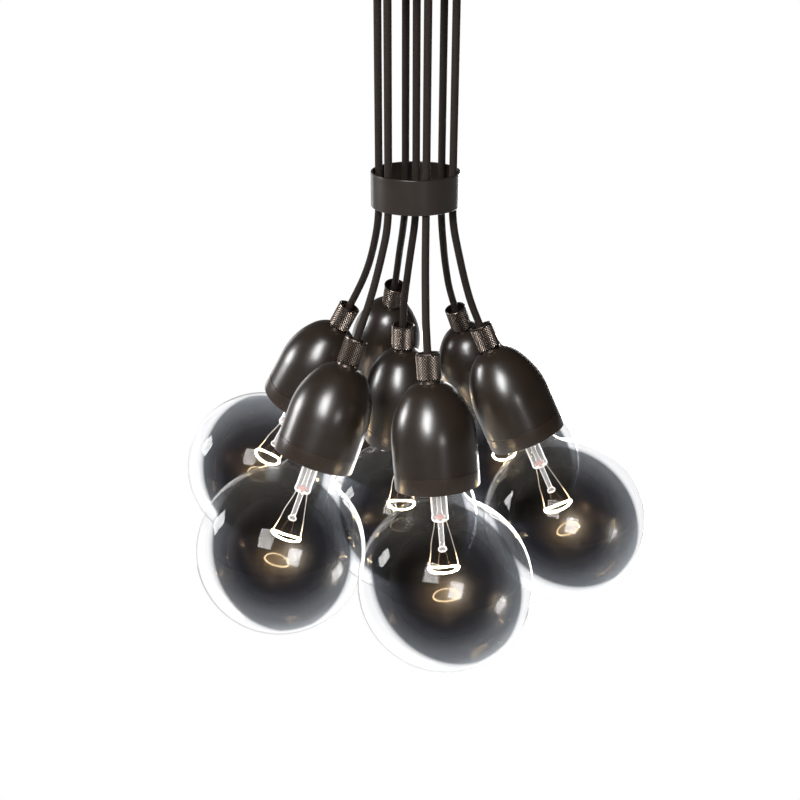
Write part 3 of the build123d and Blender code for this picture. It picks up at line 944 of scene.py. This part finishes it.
def wireLine(points, steps):
    # a smooth bend through a few points given in mm
    corners = [Vector(p) * mm for p in points]
    ends = [corners[0] * 2 - corners[1], *corners, corners[-1] * 2 - corners[-2]]
    line = []
    for before, start, end, after in zip(ends, ends[1:], ends[2:], ends[3:]):
        straight = end - before
        square = 2 * before - 5 * start + 4 * end - after
        cube = 3 * start - before - 3 * end + after
        for i in range(steps):
            t = i / steps
            line.append(0.5 * (2 * start + straight * t + square * t**2 + cube * t**3))
    return line + [corners[-1]]


def coilLine(c):
    turns = round(full * c["ring"] / c["coilPitch"])
    line = []
    for i in range(turns * c["coilSteps"]):
        a = full * i / (turns * c["coilSteps"])
        sag = (c["frontSag"] if math.sin(a) < 0 else c["backSag"]) * abs(math.sin(a)) ** c["sagPower"]
        twist = a * turns
        r = c["ring"] + c["coil"] * math.cos(twist)
        z = c["ringHeight"] - sag + c["coil"] * math.sin(twist)
        line.append(Vector((r * math.cos(a), r * math.sin(a), z)) * mm)
    return line


def makeMounts(c):
    wide, tall, middle = c["bead"]
    bead = [(0, middle - tall)]
    for turn in range(*c["beadTurns"]):
        t = math.radians(turn)
        bead.append((wide * math.cos(t), middle + tall * math.sin(t)))
    outlines = (c["stem"], c["tube"], c["rod"], bead)
    parts = [(*lathe(outline, c["turnedSides"])[:2], 0) for outline in outlines]
    parts.append((*lathe(c["seal"], c["sealSides"])[:2], 3))

    def addWire(line, radius, sides, number, ring=False):
        parts.append((*sweep(line, radius * mm, sides, ring=ring)[:2], number))

    for bends in c["leads"]:
        end = (math.copysign(c["ring"], bends[0][0]), 0, c["ringHeight"])
        addWire(wireLine([*bends, end], c["bendSteps"]), c["lead"], c["leadSides"], 1)
    aside = c["supportEnd"]
    hook = (aside, math.sqrt(c["ring"] ** 2 - aside**2), c["ringHeight"] - c["backSag"])
    for side in (-1, 1):
        points = [(side * x, y, z) for x, y, z in [*c["supportBends"], hook]]
        addWire(wireLine(points, c["bendSteps"]), c["support"], c["supportSides"], 4)
    addWire(coilLine(c), c["wire"], c["wireSides"], 2, ring=True)
    points, faces, owners = joined(parts)
    pink = plainMaterial(plastic, "stem seal", *c["sealColours"], c["sealRoughness"])
    dark = plainMaterial(metal, "support wire", *c["supportColours"], c["supportRoughness"])
    materials = [stemGlassMaterial(c), hotWireMaterial(c), coilMaterial(c), pink, dark]
    obj = newObject("lit_mount", points, faces, materials, owners)
    onEachLamp(obj, "filament_mount", onLamp=True)
    for name in lampNames:
        data = bpy.data.lights.new(name + "_glow", "POINT")
        data.energy = c["lampPower"]
        data.color = c["lampColour"]
        data.shadow_soft_size = c["lampRadius"] * mm
        light = bpy.data.objects.new(name + "_glow", data)
        scene.collection.objects.link(light)
        light.matrix_world = lampMatrix(name) @ Matrix.Translation((0, 0, c["ringHeight"] * mm))
        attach(light, name + "_lamp")


makeMounts(mount)
print("filament mounts: 7, lit")


# finishes of the CAD pieces that stay

finishes = {
    "ceiling_cover": "paint", "gather_band": "paint", "cap_nuts": "paint",
    "mounting_strap": "zinc", "cover_studs": "zinc", "ground_screw": "brass",
    "terminal_block": "nylon", "ceiling_cord_grips": "phenolic", "cord_grip_nuts": "phenolic",
}


plainFinishes = {  # kind, name, the two colours of its patches, roughness
    "zinc": (metal, "zinc plate", (0.42, 0.43, 0.44), (0.60, 0.61, 0.62), 0.32),
    "nylon": (plastic, "natural nylon", (0.62, 0.61, 0.55), (0.72, 0.71, 0.66), 0.4),
    "phenolic": (plastic, "black phenolic", (0.012, 0.011, 0.011), (0.022, 0.020, 0.019), 0.38),
}


def finishCad(nodes):
    kinds = {key: plainMaterial(*values) for key, values in plainFinishes.items()}
    kinds["paint"] = paintMaterial(paint, "bronze paint")
    kinds["brass"] = brass
    holders = {name + "_lampholder": "phenolic" for name in lampNames}
    for node, kind in {**nodes, **holders}.items():
        for place in frame["nodes"][node].material_slots:
            place.material = kinds[kind]


finishCad(finishes)
print("CAD pieces finished")


# studio: white surroundings, a softbox and strips, two small lamps in front

studio = {
    "centre": (-0.01, 0.0, -0.40),
    "floorHeight": -1.4,
    "floorSize": 14.0,
    "floorColours": ((0.78, 0.78, 0.78), (0.82, 0.82, 0.82)),
    "floorGrain": 40,
    "floorRoughness": 0.6,
    "diffuseLevel": 0.42,
    "mirrorLevels": [(0.0, 0.14), (0.42, 0.20), (0.54, 0.18), (0.66, 0.10), (0.78, 0.05), (1.0, 0.04)],
    "mirrorShade": (0.10, 0.62, 1.0, 0.12),  # darker to the right: from and to in x, and their levels
    "lights": {  # azimuth left of the camera, elevation, distance, width, height, radiance
        "softbox": (21, 40, 1.3, 0.42, 0.54, 38.0),
        "side strip": (102, 14, 1.3, 0.34, 0.36, 34.0),
        "left wall": (150, -14, 1.3, 0.3, 1.0, 2.0),
        "right wall": (-158, -16, 1.3, 0.6, 1.2, 14.0),
        "left spark": (16.5, 28, 0.9, 0.014, 0.014, 2200.0),
        "right spark": (-20, 16, 0.9, 0.014, 0.014, 1400.0),
    },
}


def whiteForRays(tree):
    path = addNode(tree, "LightPath")
    return maths(tree, "MAXIMUM", path.outputs["Is Camera Ray"], path.outputs["Is Transmission Ray"])


def makeWorld(c):
    world = bpy.data.worlds.new("studio")
    scene.world = world
    world.use_nodes = True
    tree = world.node_tree
    split = addNode(tree, "SeparateXYZ", {0: addNode(tree, "TexCoord").outputs["Generated"]})
    mirrored = ramp(tree, mapped(tree, split.outputs[2], -1.0, 1.0), c["mirrorLevels"])
    shade = mapped(tree, split.outputs[0], *c["mirrorShade"])
    mirrored = addNode(tree, "VectorMath", {0: mirrored, 1: shade}, operation="MULTIPLY").outputs[0]
    mirrorRay = addNode(tree, "LightPath").outputs["Is Glossy Ray"]
    colour = mixed(tree, mirrorRay, (c["diffuseLevel"],) * 3, mirrored)
    colour = mixed(tree, whiteForRays(tree), colour, (1, 1, 1))
    tree.links.new(colour, tree.nodes["Background"].inputs["Color"])


def makeFloor(c):
    material, tree, shader = newMaterial("pale floor")
    grain = noise(tree, objectPlace(tree), c["floorGrain"], 3)
    feed(tree, shader, {
        "Base Color": mixed(tree, grain, *c["floorColours"]),
        "Roughness": c["floorRoughness"],
    })
    white = addNode(tree, "Emission").outputs[0]
    toSurface(tree, mixedShader(tree, whiteForRays(tree), shader.outputs[0], white))
    h, z = c["floorSize"] / 2, c["floorHeight"]
    corners = [(-h, -h, z), (h, -h, z), (h, h, z), (-h, h, z)]
    newObject("floor", corners, [(0, 1, 2, 3)], [material])


def makeLights(c):
    centre = Vector(c["centre"])
    for name, (azimuth, elevation, distance, width, tall, radiance) in c["lights"].items():
        a, e = math.radians(azimuth), math.radians(elevation)
        away = Vector((-math.sin(a) * math.cos(e), -math.cos(a) * math.cos(e), math.sin(e)))
        data = bpy.data.lights.new(name, "AREA")
        data.shape = "RECTANGLE"
        data.size, data.size_y = width, tall
        data.energy = radiance * math.pi * width * tall
        light = bpy.data.objects.new(name, data)
        scene.collection.objects.link(light)
        light.location = centre + away * distance
        light.rotation_euler = away.to_track_quat("Z", "Y").to_euler()


makeWorld(studio)
makeFloor(studio)
makeLights(studio)
print("studio made")
